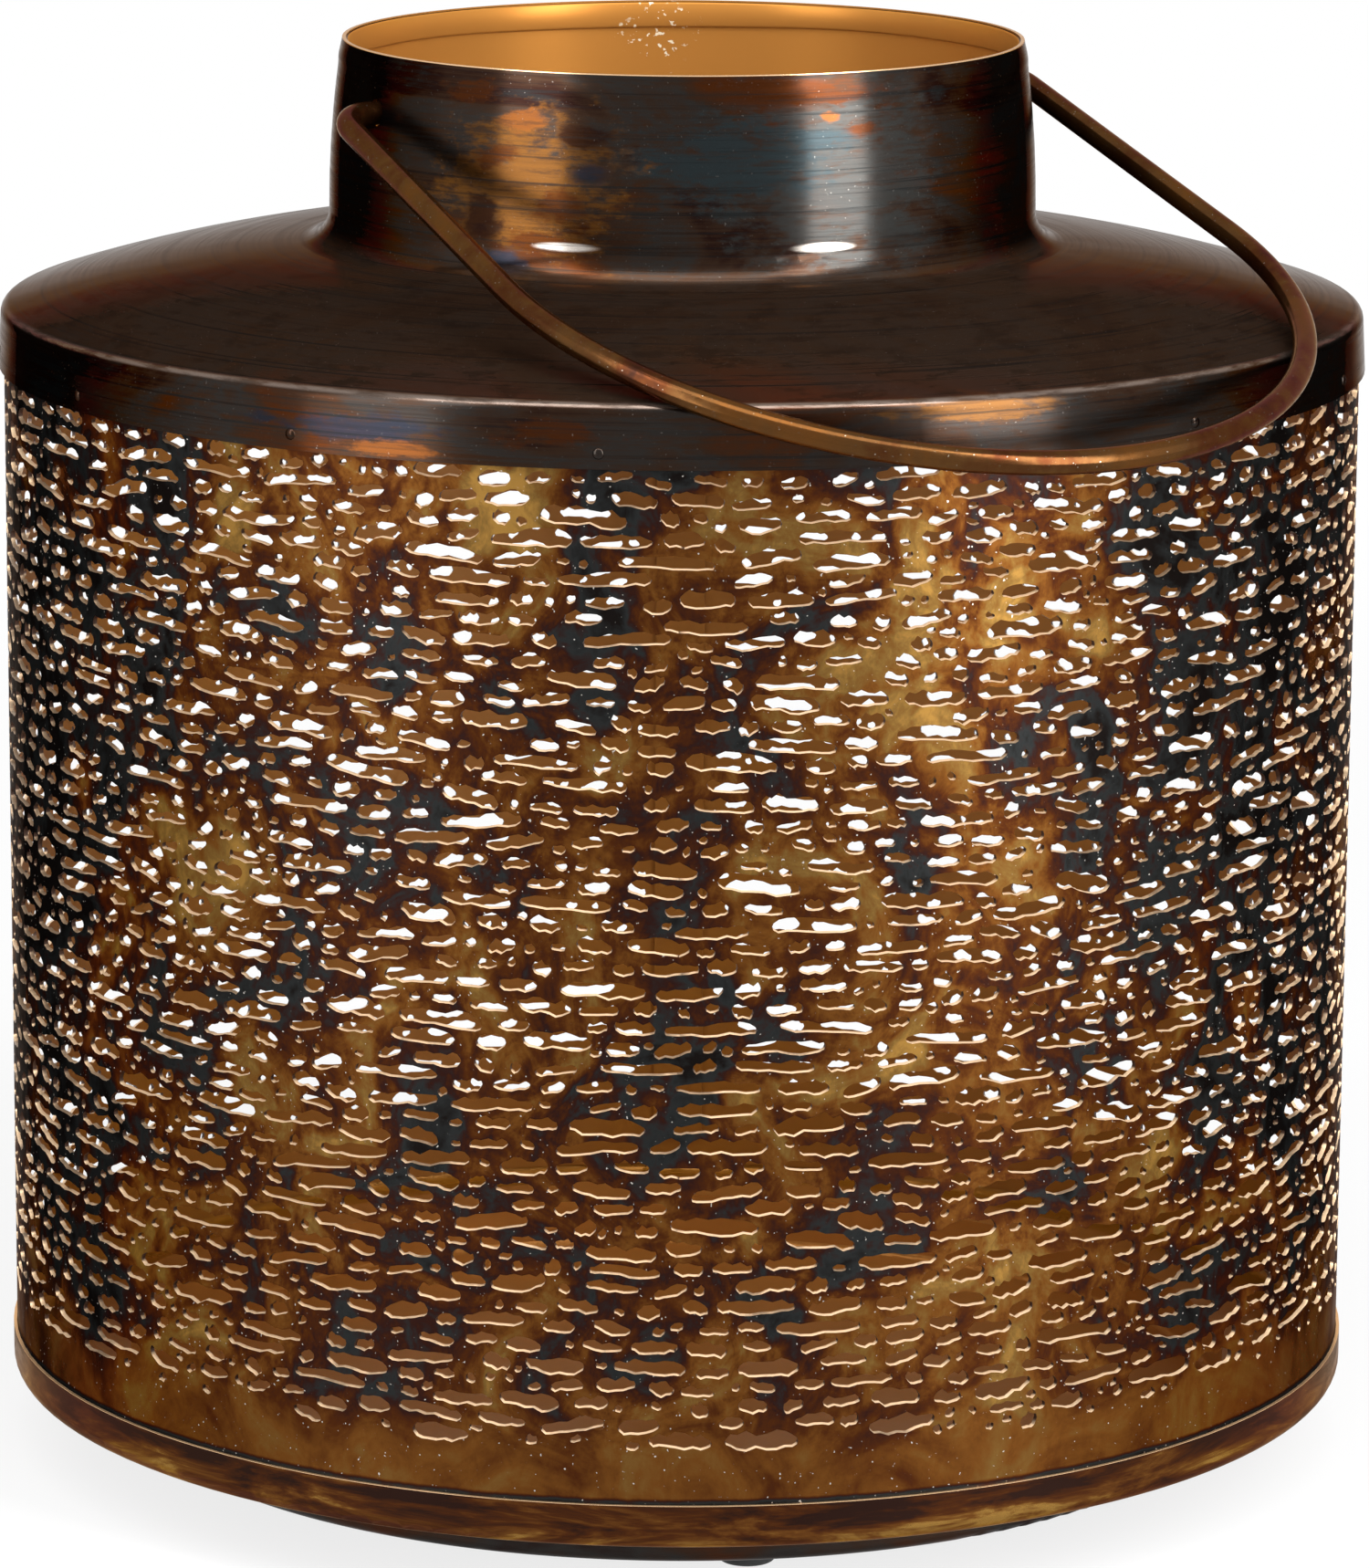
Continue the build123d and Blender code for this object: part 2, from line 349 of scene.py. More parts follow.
# Tints that the heat left on the top: bearing, level, half width, half height and colour
TOP_TINTS = [
    (26, 288 * MM, 28 * MM, 24 * MM, STEEL),
    (8, 292 * MM, 24 * MM, 9 * MM, TEAL),
    (-25, 286 * MM, 22 * MM, 18 * MM, HONEY),
    (-31, 292 * MM, 6 * MM, 3 * MM, RUST),
    (-19, 282 * MM, 7 * MM, 4 * MM, RUST),
    (-33, 278 * MM, 5 * MM, 6 * MM, PLUM),
    (-23, 274 * MM, 8 * MM, 2.5 * MM, RUST),
    (-16, 297 * MM, 7 * MM, 3 * MM, PLUM),
    (-26, 300 * MM, 7 * MM, 3 * MM, FLAME),
    (-36, 305 * MM, 8 * MM, 3 * MM, RUST),
    (-15, 289 * MM, 6 * MM, 3 * MM, BLUE),
    (-29, 270 * MM, 9 * MM, 3 * MM, BLUE),
    (24, 301 * MM, 2.4 * MM, 1.5 * MM, FLAME),
    (30, 298 * MM, 5 * MM, 2 * MM, RUST),
    (20, 306 * MM, 20 * MM, 3 * MM, RUST),
    (22, 296 * MM, 10 * MM, 3 * MM, TEAL),
    (-27, 245 * MM, 22 * MM, 3.5 * MM, BLUE),
    (-23, 241 * MM, 13 * MM, 2 * MM, FLAME),
    (-10, 246 * MM, 14 * MM, 3 * MM, RUST),
    (24, 250 * MM, 22 * MM, 2.8 * MM, BRONZE),
]

# Painted highlights, pale spots where the foot of the neck shines most under the side lamps: bearing, level,
# half width and half height
PAINTED_HIGHLIGHT_SPOTS = [
    (22.5, 273.5 * MM, 8 * MM, 1.2 * MM),
    (-18.5, 273.5 * MM, 8 * MM, 1.1 * MM),
]

# Dark and golden runs on the drum, the golden one at bearing 22 a painted highlight: bearing, level, half
# width, half height and how dark
DRUM_RUNS_AND_HIGHLIGHT = [
    (-66, 150 * MM, 44 * MM, 150 * MM, 0.13),
    (-74, 160 * MM, 30 * MM, 120 * MM, 0.10),
    (-46, 212 * MM, 8 * MM, 40 * MM, 0.10),
    (-6, 218 * MM, 7 * MM, 30 * MM, 0.08),
    (50, 165 * MM, 36 * MM, 115 * MM, 0.11),
    (66, 160 * MM, 34 * MM, 120 * MM, 0.11),
    (-22, 200 * MM, 9 * MM, 18 * MM, 0.10),
    (-22, 151 * MM, 24 * MM, 12 * MM, 0.09),
    (-1, 126 * MM, 13 * MM, 28 * MM, 0.09),
    (-10, 92 * MM, 32 * MM, 24 * MM, 0.07),
    (19, 157 * MM, 8 * MM, 22 * MM, 0.08),
    (8, 62 * MM, 9 * MM, 16 * MM, 0.08),
    (-15, 230 * MM, 17 * MM, 13 * MM, -0.12),
    # A painted highlight: the golden column down the drum where the right-hand lamp shines
    (22, 205 * MM, 15 * MM, 40 * MM, -0.10),
    (-38, 225 * MM, 9 * MM, 22 * MM, -0.10),
]


def dusty(paint, colour, amount, scale):
    """A colour with sparse specks of pale dust."""
    specks = paint.noise(paint.place, scale, 1)
    return paint.mix(paint.span(specks, 0.73, 0.78, 0.0, amount), colour, DUST)


def drum_heat_and_highlight(paint):
    """How far the heat went on the drum, from about 0.3 for gold to 0.75 for soot, and its fine flecks. One
    golden run in it is a painted highlight, not heat.
    """
    blots = paint.noise(paint.stretched(1, 1, 1.05), 36, 5, 0.6, 0.9)
    flecks = paint.noise(paint.stretched(1, 1, 0.8), 170, 5, 0.7, 0.5)
    rag = paint.noise(paint.stretched(1, 1, 0.6), 55, 3)
    heat = paint.math("MULTIPLY_ADD", flecks, 0.27, paint.math("MULTIPLY", blots, 0.73))
    heat = paint.span(heat, 0.3, 0.7, 0.277, 0.777, smooth=False)
    for bearing, level, width, height, darker in DRUM_RUNS_AND_HIGHLIGHT:
        run = paint.patch(bearing, level, width, height, rag)
        heat = paint.math("ADD", heat, paint.math("MULTIPLY", run, darker))
    return heat, flecks


def burnt_sheet():
    """The drum's brass, tinted by heat from olive gold through amber and red brown to slate, with one golden
    run that is a painted highlight and painted shade just above the band.
    """
    paint = Painter("burnt_drum")
    heat, flecks = drum_heat_and_highlight(paint)
    low = paint.span(paint.along((0, 0, 1)), band_top + 26 * MM, band_top + 8 * MM)
    plain = paint.math("SUBTRACT", 0.42, heat)
    heat = paint.math("MULTIPLY_ADD", paint.math("MULTIPLY", low, 0.6), plain, heat)
    # Painted shade: the drum darker just above the band, where it goes into the band
    shade_above_band = paint.span(paint.along((0, 0, 1)), band_top + 1.6 * MM, band_top + 0.3 * MM)
    heat = paint.math("ADD", heat, paint.math("MULTIPLY", shade_above_band, 0.2))
    stops = [(0.31, GOLD), (0.39, OLIVE), (0.45, AMBER), (0.52, RUST)]
    stops += [(0.585, WINE), (0.65, SLATE), (0.75, SOOT)]
    paint.set(Base_Color=dusty(paint, paint.ramp(heat, stops), 0.8, 1200), Metallic=0.8)
    paint.set(Roughness=paint.span(flecks, 0.3, 0.7, 0.30, 0.44), Specular_Tint=DRUM_GLANCE)
    paint.set(Specular_IOR_Level=0.0)
    dents = paint.bump(paint.noise(paint.place, 50, 2), 0.10, 2 * MM)
    paint.set(Normal=paint.bump(flecks, 0.10, 0.15 * MM, dents))
    return paint.material


def cut_edge():
    """The cut edges: bright metal where they face up, as painted light from above, dark brown as painted
    shade elsewhere, and browned where the heat was high.
    """
    paint = Painter("cut_edge")
    grain = paint.noise(paint.place, 900, 3)
    # Painted light and shade: cut edges that face up are made bright as if lit from above, the others take
    # the dark brown of painted shade
    lit_and_bare = paint.span(paint.vector("DOT_PRODUCT", paint.normal, (0, 0, 1)), 0.3, 0.8)
    heat, _ = drum_heat_and_highlight(paint)
    lit_and_bare = paint.math("MULTIPLY", lit_and_bare, paint.span(heat, 0.54, 0.72, 1.0, 0.3))
    paint.set(Base_Color=paint.mix(lit_and_bare, SHADED_AND_BROWNED, paint.mix(grain, CUT, COPPER)), Metallic=0.5)
    paint.set(Roughness=paint.span(grain, 0.3, 0.7, 0.34, 0.5))
    paint.set(Normal=paint.bump(grain, 0.15, 0.1 * MM))
    return paint.material


def inside_paint():
    """The satin copper-gold paint inside the lantern's drum, made darker than the same paint inside the neck
    as painted shade.
    """
    paint = Painter("inside_paint")
    cloud = paint.noise(paint.place, 30, 4)
    paint.set(Base_Color=paint.mix(cloud, SHADED_DRUM_PAINT, SHADED_DRUM_PAINT_SHADE), Metallic=0.2)
    paint.set(Roughness=paint.span(cloud, 0.3, 0.7, 0.40, 0.52))
    paint.set(Normal=paint.bump(paint.noise(paint.place, 700, 2), 0.06, 0.1 * MM))
    return paint.material


def spun_metal():
    """The top: dark spun sheet with fine tool lines and tints of heat outside, gold paint inside; painted
    highlights at the neck's foot and along the crease, and a lighter brown on upward faces that is partly
    painted sheen.
    """
    paint = Painter("burnt_top")
    blots = paint.noise(paint.stretched(1, 1, 2.2), 17, 5, 0.6, 0.8)
    lines = paint.rings(1100)
    fray = paint.noise(paint.stretched(1, 1, 2.2), 380, 4, 0.7)
    rag = paint.math("MULTIPLY_ADD", fray, 0.45, paint.noise(paint.stretched(1, 1, 2.6), 105, 4, 0.6))
    rag = paint.math("MULTIPLY", rag, 0.69)
    heat = paint.math("MULTIPLY_ADD", lines, 0.2, paint.math("MULTIPLY", blots, 0.8))
    stops = [(0.36, RUST), (0.45, UMBER), (0.50, GUNMETAL), (0.56, UMBER), (0.62, PLUM), (0.68, SLATE)]
    colour = paint.ramp(heat, stops)
    for bearing, level, width, height, tint in TOP_TINTS:
        patch = paint.patch(bearing, level, width, height, rag)
        colour = paint.mix(paint.math("MULTIPLY", patch, 0.85), colour, tint)
    # Painted highlights: near-white spots at the foot of the neck, where the side lamps shine
    for bearing, level, width, height in PAINTED_HIGHLIGHT_SPOTS:
        colour = paint.mix(paint.patch(bearing, level, width, height, even_rag), colour, PAINTED_HIGHLIGHT)
    upward = paint.span(paint.vector("DOT_PRODUCT", paint.normal, (0, 0, 1)), 0.35, 0.95)
    # Upward faces take a lighter brown: partly a heat tint, partly a painted sheen on the shoulder
    colour = paint.mix(paint.math("MULTIPLY", upward, 0.5), colour, SHOULDER_BROWN_AND_SHEEN)
    streaks = paint.noise(paint.stretched(1, 1, 7), 110, 4, 0.65)
    colour = paint.mix(paint.span(streaks, 0.50, 0.66, 0.0, 0.55), colour, UMBER)
    colour = paint.mix(paint.span(lines, 0.52, 0.68, 0.0, 0.65), colour, BLACK)
    # A painted highlight: a thin pale line along the crease between skirt and shoulder, broken up by streaks
    from_crease = paint.math("ABSOLUTE", paint.math("SUBTRACT", paint.along((0, 0, 1)), crease_level))
    crease = paint.span(from_crease, 0.7 * MM, 0.1 * MM)
    crease_highlight = paint.math("MULTIPLY", crease, paint.span(streaks, 0.35, 0.60, 0.2, 0.8))
    colour = paint.mix(crease_highlight, colour, CREASE_HIGHLIGHT)
    colour = dusty(paint, colour, 0.15, 1900)
    rim = paint.span(paint.along((0, 0, 1)), neck_rim_level - 0.25 * MM, neck_rim_level - 0.05 * MM)
    colour = paint.mix(rim, colour, COPPER)
    outside = paint.faces_out(0.6)
    worn = paint.patch(184, 303 * MM, 9 * MM, 8 * MM, rag)
    chips = paint.span(paint.noise(paint.place, 620, 2), 0.60, 0.64)
    inside = paint.mix(paint.math("MULTIPLY", worn, chips), PAINT, CHIP)
    paint.set(Base_Color=paint.mix(outside, inside, colour))
    paint.set(Metallic=paint.span(outside, 0, 1, 0.4, paint.math("MULTIPLY_ADD", upward, -0.22, 0.95)))
    polish = paint.math("MULTIPLY_ADD", upward, -0.06, paint.span(lines, 0.3, 0.7, 0.18, 0.28))
    paint.set(Roughness=paint.span(outside, 0, 1, 0.36, polish))
    paint.set(Anisotropic=0.7, Anisotropic_Rotation=0.25)
    paint.set(Tangent=paint.node("ShaderNodeTangent", {}, direction_type="RADIAL", axis="Z"))
    paint.set(Specular_Tint=TOP_GLANCE, Specular_IOR_Level=0.0)
    hollows = paint.bump(paint.noise(paint.place, 26, 2), 0.10, 2 * MM)
    paint.set(Normal=paint.bump(lines, 0.20, 0.06 * MM, hollows))
    return paint.material


def rubbed_band():
    """The band round the base: dark red brown, rubbed back to gold along its lower edge."""
    paint = Painter("burnt_band")
    blots = paint.noise(paint.stretched(1, 1, 5), 36, 5, 0.65, 0.6)
    lines = paint.rings(1500)
    level = paint.along((0, 0, 1))
    rubbed = paint.span(level, band_top - 1.5 * MM, band_top - 7.5 * MM, -0.06, 0.07)
    heat = paint.math("SUBTRACT", paint.math("MULTIPLY_ADD", lines, 0.15, blots), rubbed)
    stops = [(0.37, GOLD), (0.46, AMBER), (0.56, RUST), (0.68, PLUM)]
    edge = paint.span(level, band_top - 0.12 * MM, band_top - 0.04 * MM)
    colour = paint.mix(edge, paint.ramp(heat, stops), COPPER)
    outside = paint.faces_out(-0.4)
    outside = paint.math("MAXIMUM", outside, edge)
    # Inside, the band takes the drum's darker paint, as painted shade
    paint.set(Base_Color=paint.mix(outside, SHADED_DRUM_PAINT, colour))
    paint.set(Metallic=paint.span(outside, 0, 1, 0.2, 0.85))
    paint.set(Roughness=paint.span(blots, 0.3, 0.7, 0.26, 0.42), Specular_Tint=BAND_GLANCE)
    dents = paint.bump(paint.noise(paint.place, 60, 2), 0.08, 2 * MM)
    paint.set(Normal=paint.bump(lines, 0.15, 0.06 * MM, dents))
    return paint.material


def dark_dish():
    """The set-back dish: dark brown grey outside, gold paint inside."""
    paint = Painter("dark_dish")
    blots = paint.noise(paint.stretched(1, 1, 3), 30, 4)
    colour = paint.ramp(blots, [(0.35, RUST), (0.48, UMBER), (0.58, GUNMETAL), (0.7, PLUM)])
    outside = paint.faces_out(-2.0)
    paint.set(Base_Color=paint.mix(outside, PAINT, colour))
    paint.set(Metallic=paint.span(outside, 0, 1, 0.25, 0.6))
    paint.set(Roughness=paint.span(blots, 0.3, 0.7, 0.30, 0.45))
    paint.set(Normal=paint.bump(paint.rings(900), 0.12, 0.06 * MM), Specular_IOR_Level=0.1)
    return paint.material


def rubber():
    """The black rubber of the feet."""
    paint = Painter("black_rubber")
    grain = paint.noise(paint.place, 1200, 3)
    paint.set(Base_Color=paint.mix(grain, BLACK, CHARCOAL))
    paint.set(Roughness=paint.span(grain, 0.3, 0.7, 0.6, 0.75))
    paint.set(Normal=paint.bump(grain, 0.2, 0.1 * MM))
    return paint.material


def brown_wire():
    """The bail's brown brass, with darker burnt stretches."""
    paint = Painter("burnt_wire")
    stretches = paint.noise(paint.place, 34, 4, 0.6, 0.5)
    grain = paint.noise(paint.place, 330, 4, 0.6, 0.8)
    heat = paint.math("MULTIPLY_ADD", grain, 0.2, paint.math("MULTIPLY", stretches, 0.8))
    stops = [(0.30, AMBER), (0.46, BRONZE), (0.58, RUST), (0.70, PLUM)]
    paint.set(Base_Color=dusty(paint, paint.ramp(heat, stops), 0.5, 1900), Metallic=0.85)
    paint.set(Roughness=paint.span(grain, 0.3, 0.7, 0.13, 0.24), Specular_Tint=WIRE_GLANCE)
    paint.set(Normal=paint.bump(grain, 0.12, 0.12 * MM))
    return paint.material


# Drum
def hole_outline(draw, kind):
    """One hole about its own middle: its outline, the ways into it at each point, and its two edges."""
    length = draw.uniform(*kind["length"])
    height = draw.uniform(*kind["height"])
    points = kind["points"]
    share = -np.cos(math.pi * np.arange(points + 2) / (points + 1))
    across = share * length / 2
    swell = np.sqrt(1 - np.abs(share) ** (1 + length / height))
    tilt = math.tan(math.radians(draw.uniform(-hole_tilt, hole_tilt)))
    step_place = draw.uniform(-0.6, 0.6) * length
    step = draw.uniform(-0.3, 0.3) * height
    middle = across * tilt + step * np.tanh((across - step_place) / height)
    upper = middle + height / 2 * swell * draw.uniform(0.5, 1.2, points + 2)
    lower = middle - height / 2 * swell * draw.uniform(0.65, 1.15, points + 2)
    there = np.stack([across, lower], axis=1)
    back = np.stack([across[-2:0:-1], upper[-2:0:-1]], axis=1)
    outline = np.concatenate([there, back])
    edge = unit(np.roll(outline, -1, axis=0) - np.roll(outline, 1, axis=0))
    inward = np.stack([-edge[:, 1], edge[:, 0]], axis=1)
    return outline, inward, (across, lower, upper)


def covered_cells(span, at):
    """The cells of the unrolled sheet that a hole and half its bridge cover, as ranges and a mask."""
    across, lower, upper = span
    bridge = hole_bridge / 2
    first = int((at[0] + across[0] - bridge) / occupied_cell)
    last = int((at[0] + across[-1] + bridge) / occupied_cell) + 1
    low = int((at[1] + lower.min() - bridge) / occupied_cell)
    high = int((at[1] + upper.max() + bridge) / occupied_cell) + 1
    column = (np.arange(first, last) + 0.5) * occupied_cell - at[0]
    row = (np.arange(low, high) + 0.5) * occupied_cell - at[1]
    column = np.clip(column, across[0], across[-1])
    floor = np.interp(column, across, lower) - bridge
    ceiling = np.interp(column, across, upper) + bridge
    mask = (row[:, None] >= floor[None, :]) & (row[:, None] <= ceiling[None, :])
    return slice(low, high), slice(first, last), mask


def try_hole(draw, kind, at, taken, holes):
    """Add a hole that starts at a place if it leaves a bridge to the others. Gives back its length."""
    outline, inward, span = hole_outline(draw, kind)
    at = at + np.array([-span[0][0], 0])
    if at[0] + span[0][-1] > drum_girth - seam_margin:
        return 0
    rows, columns, mask = covered_cells(span, at)
    if (taken[rows, columns] & mask).any():
        return 0
    taken[rows, columns] |= mask
    holes.append((outline + at, inward))
    return span[0][-1] - span[0][0]


def scattered_holes():
    """Holes in rows that waver, round the unrolled sheet, and then dots where room is left between them."""
    draw = np.random.default_rng(hole_seed)
    lowest = band_top + hole_bottom_margin - drum_bottom
    highest = skirt_bottom - hole_top_margin - drum_bottom
    cells = [int(extent / occupied_cell) + 1 for extent in (drum_top - drum_bottom, drum_girth)]
    taken = np.zeros(cells, bool)
    kinds = [LONG_HOLE, SHORT_HOLE, DOT_HOLE]
    shares = [kind["share"] for kind in kinds]
    holes = []
    for row_level in np.arange(lowest, highest, hole_row_pitch):
        along = seam_margin + draw.uniform(0, LONG_HOLE["length"][0])
        while along < drum_girth - seam_margin:
            level = row_level + draw.uniform(-hole_row_waver, hole_row_waver)
            missing = level < lowest + draw.uniform(0, hole_bottom_waver)
            kind = kinds[draw.choice(len(kinds), p=shares)]
            length = 0 if missing else try_hole(draw, kind, np.array([along, level]), taken, holes)
            along += length + draw.uniform(*hole_gap) if length else hole_step_back
    for _ in range(dot_tries):
        along = draw.uniform(seam_margin, drum_girth - seam_margin)
        level = draw.uniform(lowest, highest)
        try_hole(draw, DOT_HOLE, np.array([along, level]), taken, holes)
    return holes, taken


def sheet_points(taken):
    """Points of a grid on the unrolled sheet, left out where holes are, with whole rows along its edges."""
    height = drum_top - drum_bottom
    columns = np.linspace(0, drum_girth, 1 + round(drum_girth / grid_step))
    levels = np.linspace(0, height, 1 + round(height / grid_step))
    points = []
    for column in columns:
        for level in levels:
            at_edge = column in (columns[0], columns[-1]) or level in (levels[0], levels[-1])
            if at_edge or not taken[int(level / occupied_cell), int(column / occupied_cell)]:
                points.append((column, level))
    return np.array(points)


def triangulated_sheet():
    """The unrolled sheet: points, slant of the cut edges there, triangles, and points joined at the seam."""
    holes, taken = scattered_holes()
    plain = sheet_points(taken)
    points = np.concatenate([plain] + [outline for outline, _ in holes])
    slant = np.zeros_like(points)
    loops = []
    start = len(plain)
    for outline, inward in holes:
        count = len(outline)
        slant[start : start + count] = inward * edge_slant + np.array([0, edge_lift])
        loops.append(list(range(start, start + count)))
        start += count
    made = delaunay_2d_cdt([Vector(point) for point in points], [], loops, 0, merge_distance)
    triangles = np.array([face for face, inside in zip(made[2], made[5]) if not inside])
    first_column = {round(points[i][1], 6): i for i in range(len(plain)) if points[i][0] == 0}
    joined = np.arange(len(points))
    for i in range(len(plain)):
        if abs(points[i][0] - drum_girth) < seam_match:
            joined[i] = first_column[round(points[i][1], 6)]
    return points, slant, triangles, joined


def edges_of_one_side(triangles):
    """The edges, in turning order, that only one of the triangles has."""
    edges = np.concatenate([triangles[:, [0, 1]], triangles[:, [1, 2]], triangles[:, [2, 0]]])
    size = triangles.max() + 1
    key = edges[:, 0].astype(np.int64) * size + edges[:, 1]
    other = edges[:, 1].astype(np.int64) * size + edges[:, 0]
    return edges[~np.isin(key, other)]


def drum_piece(name, points, slant, triangles, rims, materials):
    """A share of the drum's sheet: outer skin, inner skin and the walls between, as one closed mesh."""
    used, flat = np.unique(triangles, return_inverse=True)
    triangles = flat.reshape(-1, 3)
    points, slant = points[used], slant[used]
    level = points[:, 1] + drum_bottom
    outer = wrapped(points[:, 0], level, drum_radius)
    inner_points = points + slant
    inner = wrapped(inner_points[:, 0], inner_points[:, 1] + drum_bottom, drum_radius - sheet_thickness)
    count = len(points)
    edges = edges_of_one_side(triangles)
    walls = np.stack([edges[:, 0], edges[:, 0] + count, edges[:, 1] + count, edges[:, 1]], axis=1)
    corners = np.concatenate([outer, inner])
    faces = triangles.tolist() + (triangles[:, ::-1] + count).tolist() + walls.tolist()
    mesh = bpy.data.meshes.new(name)
    mesh.from_pydata(corners.tolist(), [], faces)
    outward = unit(outer * np.array([1, 1, 0]))
    wall_start = corners[walls[:, 0]]
    wall_normal = np.cross(corners[walls[:, 1]] - wall_start, corners[walls[:, 2]] - wall_start)
    is_rim = rims[used[edges[:, 0]]] & rims[used[edges[:, 1]]]
    turned = np.zeros_like(corners)
    for k in range(4):
        np.add.at(turned, walls[is_rim, k], unit(wall_normal)[is_rim])
    is_turned = (turned**2).sum(axis=1)[:, None] > 0
    turned = np.where(is_turned, unit(turned), np.concatenate([outward, -outward]))
    normals = np.concatenate(
        [outward[triangles.ravel()], -outward[triangles[:, ::-1].ravel()], turned[walls.ravel()]]
    )
    kinds = np.repeat([0, 1, 2], [len(triangles), len(triangles), len(walls)])
    mesh.polygons.foreach_set("material_index", kinds.astype(np.int32))
    mesh.polygons.foreach_set("use_smooth", np.ones(len(faces), bool))
    mesh.normals_split_custom_set(normals.tolist())
    return new_object(name, mesh, materials)


def smooth_mesh(name, corners, faces, angle):
    """A new mesh, smooth except at edges sharper than an angle."""
    mesh = bpy.data.meshes.new(name)
    mesh.from_pydata(corners, [], faces)
    mesh.shade_smooth()
    mesh.set_sharp_from_angle(angle=math.radians(angle))
    return mesh


def drum_share(piece):
    """Let a piece stand for the drum of the frame."""
    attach(piece, "lantern")
    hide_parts("punched_drum")


def punched_drum(inside):
    """The whole punched sheet, in two halves that meet inside the metal."""
    points, slant, triangles, joined = triangulated_sheet()
    middle = points[triangles][:, :, 0].mean(axis=1)
    half = drum_girth / 2
    triangles = joined[triangles]
    rims = np.abs(slant).sum(axis=1) > 0
    materials = [burnt_sheet(), inside, cut_edge()]
    for number, share in enumerate((middle < half, middle >= half)):
        name = f"punched_sheet_{number + 1}"
        drum_share(drum_piece(name, points, slant, triangles[share], rims, materials))


def ring_faces(count, sides):
    """The faces of a closed ring of closed profiles with a number of points each."""
    faces = []
    for side in range(sides):
        here, after = side * count, (side + 1) % sides * count
        for k in range(count):
            faces.append((here + k, after + k, after + (k + 1) % count, here + (k + 1) % count))
    return faces


def seam_strip(inside):
    """The lap of the seam: a strip of the sheet's other end, lying on its inside."""
    around = seam_lap * (np.arange(seam_lap_steps + 1) / seam_lap_steps - 0.5)
    outer = drum_radius - sheet_thickness - seam_lap_gap
    inner = outer - sheet_thickness
    profile = [(outer, band_top), (outer, skirt_bottom), (inner, skirt_bottom), (inner, band_top)]
    sides = [wrapped(around, np.full_like(around, level), radius) for radius, level in profile]
    corners = np.stack(sides, axis=1).reshape(-1, 3)
    count = len(profile)
    last = len(corners) - count
    faces = ring_faces(count, len(around))[:-count]
    faces += [tuple(range(count)), tuple(range(last + count - 1, last - 1, -1))]
    mesh = smooth_mesh("seam_lap", corners.tolist(), faces, sharp_angle)
    drum_share(new_object("seam_lap", mesh, [inside]))


# Small pieces
def rivets(material):
    """The rivets, with domed heads outside and inside."""
    dome = [(0.25, 0.96), (0.5, 0.84), (0.75, 0.62), (0.92, 0.34), (1.0, 0.0)]
    head = [(share * rivet_head_radius, rivet_head_seat + rise * rivet_head_height) for share, rise in dome]
    tail = [(share * rivet_head_radius, rivet_tail_seat - rise * rivet_head_height) for share, rise in dome]
    shank = [(rivet_shank_radius, rivet_head_seat), (rivet_shank_radius, rivet_tail_seat)]
    profile = [*head, *shank, *tail[::-1]]
    count = len(profile)
    turns = [2 * math.pi * side / rivet_sides for side in range(rivet_sides)]
    ring = [(r * math.cos(t), r * math.sin(t), z) for t in turns for r, z in profile]
    faces = [face for face in ring_faces(count, rivet_sides) if abs(face[0] - face[3]) == 1]
    faces.append(tuple(side * count for side in range(rivet_sides)))
    faces.append(tuple((side + 1) * count - 1 for side in reversed(range(rivet_sides))))
    corners = []
    all_faces = []
    for number in range(rivet_count):
        angle = math.radians(rivet_phase + 360 * number / rivet_count)
        turn = Matrix.Rotation(angle, 4, "Z") @ Matrix.Rotation(math.radians(90), 4, "Y")
        move = Matrix.Translation((0, 0, rivet_level)) @ turn
        first = len(corners)
        corners += [move @ Vector(corner) for corner in ring]
        all_faces += [[first + i for i in face] for face in faces]
    mesh = smooth_mesh("rivets", corners, all_faces, sharp_angle)
    piece = new_object("rivets", mesh, [material])
    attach(piece, "lantern")
    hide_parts("skirt_rivets")


def neck_radius(level):
    """The neck's outer radius at a height."""
    share = 1 - (neck_rim_level - level) / neck_height
    straight = neck_foot_radius + (neck_rim_radius - neck_foot_radius) * share
    return straight + 4 * neck_belly * share * (1 - share)


def neck_ring(name, profiles, material):
    """A closed ring on the neck, from a closed profile of (radius, level) points for each step round it."""
    corners = []
    for number, profile in enumerate(profiles):
        turn = 2 * math.pi * number / len(profiles)
        corners += [(r * math.cos(turn), r * math.sin(turn), z) for r, z in profile]
    faces = ring_faces(len(profiles[0]), len(profiles))
    mesh = smooth_mesh(name, corners, faces, neck_sharp_angle)
    piece = new_object(name, mesh, [material])
    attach(piece, "lantern")


def neck_hem(material):
    """The edge of the sheet, turned in at the neck's rim, with a lower edge that wavers."""
    draw = np.random.default_rng(hem_seed)
    turns = 2 * math.pi * np.arange(hem_sides) / hem_sides
    waver = sum(np.sin(turns * waves + draw.uniform(0, 2 * math.pi)) / waves for waves in hem_waves)
    top = neck_rim_level - hem_top_drop
    top_radius = neck_radius(top) - neck_sheet - hem_gap
    profiles = []
    for shift in waver:
        foot = neck_rim_level - hem_height + hem_waver * shift
        foot_radius = neck_radius(foot) - neck_sheet - hem_gap
        profiles.append(
            [
                (foot_radius, foot),
                (top_radius, top),
                (top_radius - 0.6 * hem_thickness, top - 0.15 * hem_thickness),
                (top_radius - hem_thickness, top - 0.7 * hem_thickness),
                (foot_radius - hem_thickness, foot + 0.8 * hem_thickness),
                (foot_radius - 0.7 * hem_thickness, foot + 0.2 * hem_thickness),
            ]
        )
    neck_ring("neck_hem", profiles, material)


